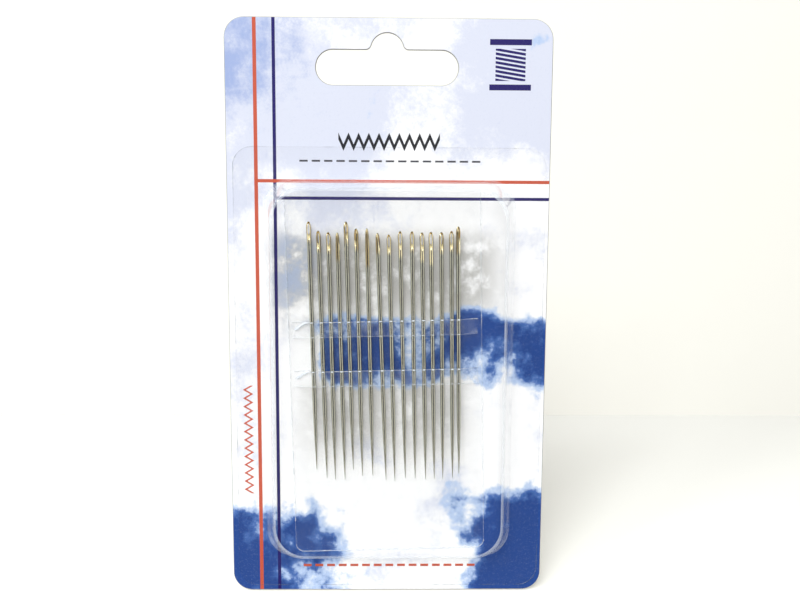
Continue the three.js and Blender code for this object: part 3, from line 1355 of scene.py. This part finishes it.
@dataclass
class Carrier:
    """The clear carrier sheet with two strips formed over the needles."""

    row: Row
    width: float = 44.95
    height: float = 85.9
    corner: float = 2.0
    corner_steps: int = 6
    below_row: float = 4.85
    film: float = 0.2
    sheet_depth: float = 0.3
    strip_height: float = 3.6
    strip_spacing: float = 11.5
    strip_steps: int = 4
    slit: float = 0.15
    margin: float = 1.0
    pocket_radius: float = 0.8
    pocket_wrap: float = 52.0
    pocket_share: float = 0.94
    pocket_steps: int = 8
    cut_band: float = 0.2
    foot_margin: float = 0.2
    left_crease: float = 2.8
    right_crease: float = 0.8
    crease_from: float = 0.6
    crease_band: float = 0.9
    crease_rise: float = 0.3
    sharp: float = 50.0

    @property
    def end(self) -> float:
        """Half the length of a slit."""
        return self.width / 2 - self.margin

    def flat(self, x: float, z: float) -> Vector:
        """Gives a point on the sheet."""
        return Vector((x, -self.sheet_depth, z))

    def pocket(self, asides: list[float], i: int) -> list[Pair]:
        """Gives the line of a needle's pocket, narrowed where its neighbours are close.

        Args:
            asides: Where the needles' axes are.
            i: The needle's place in the row.

        Returns:
            The places across the strip and the depths.
        """
        here = asides[i]
        left = (here - asides[i - 1]) / 2 if i else math.inf
        right = (asides[i + 1] - here) / 2 if i + 1 < len(asides) else math.inf
        reach = [min(1, self.pocket_share * gap / self.pocket_radius) for gap in (left, right)]
        wrap = [min(math.radians(self.pocket_wrap), math.asin(sine)) for sine in reach]
        start, stop = QUARTER + wrap[0], QUARTER - wrap[1]
        middle = (here, self.row.needle_depth)
        return arc(middle, self.pocket_radius, start, stop, self.pocket_steps)

    def strip_line(self, height: float, share: float) -> Ring:
        """Gives a strip's line at one height: up a ramp, over the needles and down again.

        Args:
            height: The height from the row's middle.
            share: The height as a share of the strip's own.

        Returns:
            The line, from the left end to the right.
        """
        end, depth = self.end, self.sheet_depth
        creased = max(share - self.crease_from, 0.0) / (1 - self.crease_from)
        foot_left = -end + self.foot_margin + creased * self.left_crease
        foot_right = end - self.foot_margin - share * self.right_crease
        line = [(-end, depth), (foot_left, depth)]
        line.append((foot_left + self.crease_band, depth + self.crease_rise))
        asides = [self.row.aside(i, height) for i, _ in enumerate(LIES)]
        for i, _ in enumerate(asides):
            line += self.pocket(asides, i)
        line += [(foot_right, depth), (end, depth)]
        return [Vector((x, -y, height)) for x, y in line]

    def strip_heights(self, middle: float) -> list[float]:
        """Gives the heights of a strip's lines, with a narrow band at each cut edge.

        Args:
            middle: The height of the strip's middle.

        Returns:
            The heights, from the lower edge up.
        """
        low, high = middle - self.strip_height / 2, middle + self.strip_height / 2
        band, steps = self.cut_band, self.strip_steps
        inner = [low + band + (high - low - 2 * band) * i / steps for i in range(steps + 1)]
        return [low, *inner, high]

    def border(self, inset: float, levels: list[float]) -> Ring:
        """Gives the sheet's outline at an inset.

        Args:
            inset: How far inside the sheet's edge it is.
            levels: The heights at which it has a point on both sides.

        Returns:
            The outline, anticlockwise from the lowest level on the right.
        """
        side, height = self.width / 2 - inset, self.height - 2 * inset
        shape = rounded_rectangle(2 * side, height, self.corner - inset, self.corner_steps)
        shape = [(x, z - self.below_row) for x, z in shape]
        upper = len(shape) // 2
        right = [(side, z) for z in levels]
        left = [(-side, z) for z in reversed(levels)]
        return [self.flat(x, z) for x, z in right + shape[:upper] + left + shape[upper:]]

    def face_sheet(self, weld: Weld, strips: list[list[float]]) -> None:
        """Adds the sheet round its slits.

        Args:
            weld: The film under work.
            strips: The heights of the strips' lines.
        """
        levels: list[float] = []
        for heights in strips:
            levels += [heights[0] - self.slit, *heights, heights[-1] + self.slit]
        rim, inside = self.border(0.0, levels), self.border(self.cut_band, levels)
        for i, _ in enumerate(rim):
            j = (i + 1) % len(rim)
            weld.face([rim[i], rim[j], inside[j], inside[i]], FilmPart.CUT_EDGE)

        end, edge = self.end, self.width / 2 - self.cut_band
        count = len(levels)
        corners = (len(inside) - 2 * count) // 2
        head, foot = inside[count : count + corners], inside[2 * count + corners :]
        for level, side, points in ((levels[-1], 1, head), (levels[0], -1, foot)):
            start, *back = (self.flat(side * x, level) for x in (edge, -edge, -end, end))
            weld.face([start, *points, *back])
        under, over = strips[0][-1] + self.slit, strips[1][0] - self.slit
        xs = (-edge, -end, end, edge)
        weld.face([self.flat(x, under) for x in xs] + [self.flat(x, over) for x in reversed(xs)])
        for near, far in zip(levels, levels[1:]):
            if near == under and far == over:
                continue
            for a, b in ((-edge, -end), (end, edge)):
                weld.face([self.flat(x, z) for x, z in ((a, near), (b, near), (b, far), (a, far))])

    def face_strip(self, weld: Weld, heights: list[float]) -> None:
        """Adds a strip, white along its left crease, partly as a stress-whitened fold and partly as
        a painted glint.

        Args:
            weld: The film under work.
            heights: The heights of the strip's lines.
        """
        low, span = heights[0], heights[-1] - heights[0]
        lines = [self.strip_line(z, (z - low) / span) for z in heights]
        last = len(lines) - 2
        for i, (near, far) in enumerate(zip(lines, lines[1:])):
            creased = heights[i + 1] - low > self.crease_from * span
            for j in range(len(near) - 1):
                part = FilmPart.FORMED if j else FilmPart.CLEAR
                if i in (0, last):
                    part = FilmPart.CUT_EDGE
                elif j == 1 and creased:
                    part = FilmPart.WORKED_AND_HIGHLIT
                weld.face([near[j], near[j + 1], far[j + 1], far[j]], part)

    def finishes(self) -> tuple[Finish, ...]:
        """Gives the finishes of the film, in the order of its parts.

        Returns:
            The finishes.
        """
        return (
            ClearFilm("carrier_film", gloss=0.06, haze=0.004, scuffs=0.02, wave=6.0),
            StripEdge(
                "carrier_cut_edge_glints",
                haze=0.12,
                scuffs=0.4,
                scuff_size=1.2,
                gloss=0.15,
                strip_spacing=self.strip_spacing,
            ),
            # The fold is partly stress-whitened film, partly a painted glint.
            ClearFilm("carrier_fold_glint", haze=0.5, scuffs=0.4, scuff_size=2.0, gloss=0.15),
            ClearFilm("carrier_strip", haze=0.015, scuffs=0.09, scuff_size=2.5, wave=2.0),
        )

    def mesh(self) -> bpy.types.Mesh:
        """Builds the sheet's middle surface with its strips, and gives it the film's thickness.

        Returns:
            The mesh, with its materials.
        """
        weld = Weld(bmesh.new())
        strips = [self.strip_heights(side * self.strip_spacing / 2) for side in (-1, 1)]
        self.face_sheet(weld, strips)
        for heights in strips:
            self.face_strip(weld, heights)
        source = add_object("carrier_middle", mesh_of("carrier_middle", weld.work, None))
        dress(source, self.finishes())
        thick = source.modifiers.new("film", "SOLIDIFY")
        thick.thickness = self.film * MM
        thick.offset = 0.0
        thick.use_even_offset = True
        thick.material_offset_rim = FilmPart.CUT_EDGE.value
        return baked("carrier_sheet", source, self.sharp)

    def build(self) -> bpy.types.Object:
        """Builds and dresses the carrier.

        Returns:
            The piece.
        """
        piece = add_object("carrier_sheet", self.mesh())
        piece.matrix_world = self.row.place()
        stand_in(piece, PACK_BODY, "needle_carrier")
        return piece


@dataclass
class Needle:
    """A long-eyed hand needle with a flattened head, point down along its own Z."""

    length: float = 58.0
    diameter: float = 1.0
    head_width: float = 1.12
    head_thickness: float = 0.84
    shoulder_share: float = 0.45
    nose: float = 1.5
    taper: float = 3.4
    eye: Pair = (0.54, 2.4)
    eye_from_top: float = 0.5
    gutter_length: float = 1.45
    gutter_depth: float = 0.2
    point: float = 19.0
    point_swell: float = 0.9
    tip_diameter: float = 0.1

    # Facets: round the needle, along its stretches, round the eye and on the gutters
    sides: int = 28
    point_steps: int = 14
    point_crowding: float = 1.6
    shaft_steps: int = 4
    taper_steps: int = 6
    brow_steps: int = 5
    nose_steps: int = 11
    eye_sides: int = 40
    gutter_sides: tuple[int, int] = (20, 14)
    sharp: float = 38.0

    @property
    def eye_low(self) -> float:
        """The height of the eye's lower end."""
        return self.length / 2 - self.eye_from_top - self.eye[1]

    def section(self, height: float) -> Pair:
        """Gives the needle's half width and half thickness at a height.

        Args:
            height: The height from the needle's middle.

        Returns:
            The half width and the half thickness.
        """
        top, radius, tip = self.length / 2, self.diameter / 2, self.tip_diameter / 2
        up = height + top
        if up < self.point:
            swell = math.sin(up / self.point * QUARTER) ** self.point_swell
            return (tip + (radius - tip) * swell,) * 2
        shoulder = self.eye_low
        middle = (self.shoulder_share * self.head_width, (self.head_thickness + self.diameter) / 4)
        full = (self.head_width / 2, self.head_thickness / 2)
        stations = (
            (shoulder - self.taper, (radius, radius)),
            (shoulder, middle),
            (top - self.nose, full),
        )
        for (low, first), (high, second) in zip(stations, stations[1:]):
            if height <= high:
                share = min(max((height - low) / (high - low), 0.0), 1.0)
                return tuple(a + (b - a) * share for a, b in zip(first, second))
        share = 1 - (top - height) / self.nose
        bulge = math.sqrt(max(1 - share**2, 0.0))
        return (full[0] * bulge, full[1] * bulge)

    def heights(self) -> list[float]:
        """Gives the heights of the needle's sections, close together where it curves.

        Returns:
            The heights, from the point up.
        """
        top = self.length / 2
        neck, brow = self.eye_low - self.taper, top - self.nose
        heights = [
            -top + self.point * (i / self.point_steps) ** self.point_crowding
            for i in range(self.point_steps + 1)
        ]
        stretches = (
            (self.shaft_steps, heights[-1], neck),
            (self.taper_steps, neck, self.eye_low),
            (self.brow_steps, self.eye_low, brow),
        )
        for steps, low, high in stretches:
            heights += [low + (high - low) * i / steps for i in range(1, steps + 1)]
        rounds = [math.sin(QUARTER * i / self.nose_steps) for i in range(1, self.nose_steps)]
        return heights + [brow + self.nose * share for share in rounds]

    def blank(self) -> bpy.types.Object:
        """Builds the needle before its eye is punched.

        Returns:
            The object.
        """
        turns = [2 * math.pi * (i + 0.5) / self.sides for i in range(self.sides)]
        rings = []
        for height in self.heights():
            a, b = self.section(height)
            rings.append([Vector((a * math.cos(t), b * math.sin(t), height)) for t in turns])
        return add_object("needle_blank", mesh_of("needle_blank", skin(rings)))

    def punches(self) -> list[bpy.types.Object]:
        """Builds the tools that cut the eye and the gutters that lead into it.

        Returns:
            The objects.
        """
        half_width, half_length = self.eye[0] / 2, self.eye[1] / 2
        turns = [2 * math.pi * i / self.eye_sides for i in range(self.eye_sides)]
        oval = [(half_width * math.cos(t), half_length * math.sin(t)) for t in turns]
        middle = self.eye_low + half_length
        ends = (self.diameter, -self.diameter)
        rings = [[Vector((x, y, z + middle)) for x, z in oval] for y in ends]
        tools = [add_object("eye_punch", mesh_of("eye_punch", skin(rings)))]
        scale = Vector((half_width, 2 * self.gutter_depth, self.gutter_length))
        round_it, down_it = self.gutter_sides
        for side in (-1, 1):
            work = bmesh.new()
            bmesh.ops.create_uvsphere(work, u_segments=round_it, v_segments=down_it, radius=1.0)
            depth = side * (self.head_thickness / 2 + self.gutter_depth)
            bmesh.ops.scale(work, vec=scale, verts=work.verts[:])
            bmesh.ops.translate(work, vec=Vector((0, depth, self.eye_low)), verts=work.verts[:])
            tools.append(add_object("gutter_tool", mesh_of("gutter_tool", work)))
        return tools

    def mesh(self) -> bpy.types.Mesh:
        """Builds the needle with its eye and gutters.

        Returns:
            The mesh.
        """
        blank, tools = self.blank(), self.punches()
        for tool in tools:
            cut = blank.modifiers.new(tool.name, "BOOLEAN")
            cut.operation, cut.solver, cut.object = "DIFFERENCE", "EXACT", tool
        mesh = baked("gilt_eye_needle", blank, self.sharp)
        for tool in tools:
            bpy.data.objects.remove(tool)
        mesh.materials.clear()
        return mesh

    def build(self, row: Row) -> list[bpy.types.Object]:
        """Builds and dresses the needles of a row.

        Args:
            row: The row that they lie in.

        Returns:
            The pieces.
        """
        mesh = self.mesh()
        pieces = []
        for i, lie in enumerate(LIES):
            number = f"{i + 1:02d}"
            node = f"needle_{number}"
            piece = add_object(f"gilt_eye_{node}", mesh.copy())
            piece.matrix_world = row.needle_place(i)
            dress(piece, (GiltSteel(f"gilt_steel_{number}", self, lie.gilt),))
            stand_in(piece, node, node)
            pieces.append(piece)
        bpy.data.meshes.remove(mesh)
        return pieces


@dataclass(frozen=True)
class Lamp:
    """A soft rectangular lamp, in watts, and whether polished faces mirror it."""

    name: str
    place: Triple
    size: Pair
    power: float
    colour: Triple = DAYLIGHT
    mirrored: bool = False

    def build(self, aim: Triple) -> bpy.types.Object:
        """Adds the lamp.

        Args:
            aim: The point that it looks at.

        Returns:
            The lamp.
        """
        light = bpy.data.lights.new(self.name, "AREA")
        light.shape, light.energy, light.color = "RECTANGLE", self.power, self.colour
        light.size, light.size_y = self.size[0] * MM, self.size[1] * MM
        made = add_object(self.name, light)
        made.location = Vector(self.place) * MM
        way = Vector(aim) * MM - made.location
        made.rotation_euler = way.to_track_quat("-Z", "Y").to_euler()
        made.visible_glossy = self.mirrored
        return made


@dataclass
class Studio:
    """The white table and wall, the light and the camera.

    The sides of the dark room are cosines of the turn from straight in front, and its top and
    the dark ceiling are sines of the height.
    """

    floor: float = -123.1
    wall: float = 162.0
    reach: float = 1500.0
    front: float = -40.0
    lamps: tuple[Lamp, ...] = (
        Lamp("key_lamp", (-253.0, -829.0, 617.0), (508.0, 500.0), 5.4),
        Lamp("top_lamp", (-216.0, -593.0, 841.0), (500.0, 500.0), 1.7, mirrored=True),
        Lamp("front_lamp", (0.0, -1100.0, 330.0), (200.0, 900.0), 6.1, (1.0, 1.0, 1.0)),
        Lamp("window_lamp", (-708.0, -637.0, 490.0), (180.0, 420.0), 2.6, mirrored=True),
    )
    backdrop_power: float = 6.0
    lamp_aim: Triple = (0.0, 0.0, -60.0)
    fill: Colour = (1.0, 0.95, 0.85, 1.0)
    fill_strength: float = 0.235
    room_strength: float = 0.05
    room_sides: Fade = (0.84, 0.93)
    room_top: Fade = (0.18, 0.09)
    ceiling: Fade = (0.86, 0.95)
    camera_place: Triple = (0.8, -161.3, -36.3)
    camera_turn: Triple = (-5.68, -0.83, 0.30)
    lens: float = 31.5
    sensor: float = 36.0
    near_clip: float = 10.0
    clear_layers: int = 24

    def backdrop(self) -> bpy.types.Object:
        """Builds the table and the wall behind it.

        Returns:
            The stage object.
        """
        depths = (self.front, self.wall, self.wall)
        heights = (self.floor, self.floor, self.floor + self.reach)
        sides = (-self.reach, self.reach)
        points = [Vector((x, y, z)) * MM for y, z in zip(depths, heights) for x in sides]
        mesh = bpy.data.meshes.new("studio_backdrop")
        mesh.from_pydata(points, [], [(0, 1, 3, 2), (2, 3, 5, 4)])
        made = add_object("studio_backdrop", mesh)
        table = StudioWhite("table_white", srgb(247, 246, 241))
        wall = StudioWhite("wall_white", srgb(229, 227, 220))
        dress(made, (table, wall))
        mesh.polygons[1].material_index = 1
        made.visible_glossy = False
        return made

    def world(self) -> None:
        """Lights the scene all round; mirrors see white, a dark room in front and its ceiling."""
        world = bpy.data.worlds.new("studio_light")
        world.use_nodes = True
        bpy.context.scene.world = world
        sheet = NodeSheet(world.node_tree)
        x, y, z = sheet.split(sheet.node("ShaderNodeTexCoord").outputs["Generated"])
        level = sheet.math("SQRT", sheet.math("ADD", sheet.product(x, x), sheet.product(y, y)))
        front = sheet.math("DIVIDE", sheet.math("MULTIPLY", y, -1.0), level)
        room = sheet.product(sheet.rise(front, *self.room_sides), sheet.rise(z, *self.room_top))
        room = sheet.math("MAXIMUM", room, sheet.rise(z, *self.ceiling))
        light = {"Color": self.fill, "Strength": self.fill_strength}
        around = sheet.first("ShaderNodeBackground", light)
        path = sheet.node("ShaderNodeLightPath").outputs
        mirrored = sheet.math("MAXIMUM", path["Is Glossy Ray"], path["Is Transmission Ray"])
        seen = sheet.math("MAXIMUM", path["Is Camera Ray"], mirrored)
        strength = sheet.line(sheet.product(room, mirrored), self.room_strength - 1, 1.0)
        white = sheet.first("ShaderNodeBackground", {"Color": WHITE, "Strength": strength})
        sheet.node("ShaderNodeOutputWorld", {"Surface": sheet.mix(seen, around, white)})

    def camera(self) -> bpy.types.Object:
        """Puts the camera where the photograph was taken.

        Returns:
            The camera.
        """
        data = bpy.data.cameras.new("photo_camera")
        data.lens, data.sensor_width, data.clip_start = self.lens, self.sensor, self.near_clip * MM
        made = add_object("photo_camera", data)
        tilt, turn, roll = (math.radians(a) for a in self.camera_turn)
        aim = Matrix.Rotation(QUARTER, 4, "X") @ Matrix.Rotation(turn, 4, "Y")
        aim = aim @ Matrix.Rotation(tilt, 4, "X") @ Matrix.Rotation(roll, 4, "Z")
        made.matrix_world = Matrix.Translation(Vector(self.camera_place) * MM) @ aim
        bpy.context.scene.camera = made
        return made

    def build(self) -> list[bpy.types.Object]:
        """Sets up the studio.

        Returns:
            Its objects.
        """
        bpy.context.scene.view_settings.view_transform = "Standard"
        bpy.context.scene.cycles.transparent_max_bounces = self.clear_layers
        self.world()
        lamps = [lamp.build(self.lamp_aim) for lamp in self.lamps]
        twin = replace(self.lamps[0], name="backdrop_lamp", power=self.backdrop_power)
        far = twin.build(self.lamp_aim)
        backdrop = self.backdrop()
        lit = bpy.data.collections.new("lit_by_backdrop_lamp")
        lit.objects.link(backdrop)
        far.light_linking.receiver_collection = lit
        return [backdrop, *lamps, far, self.camera()]


def main() -> None:
    """Builds the studio and the pack in order, and reports each object of the studio."""
    logging.basicConfig(level=logging.INFO, format="%(name)s: %(message)s")
    studio = Studio().build()
    row = Row()
    pieces = [Card().build(), Blister().build(), Carrier(row).build()]
    pieces += Needle().build(row)
    for made in studio:
        log.info("%s stands in the studio", made.name)


if __name__ == "__main__":
    main()
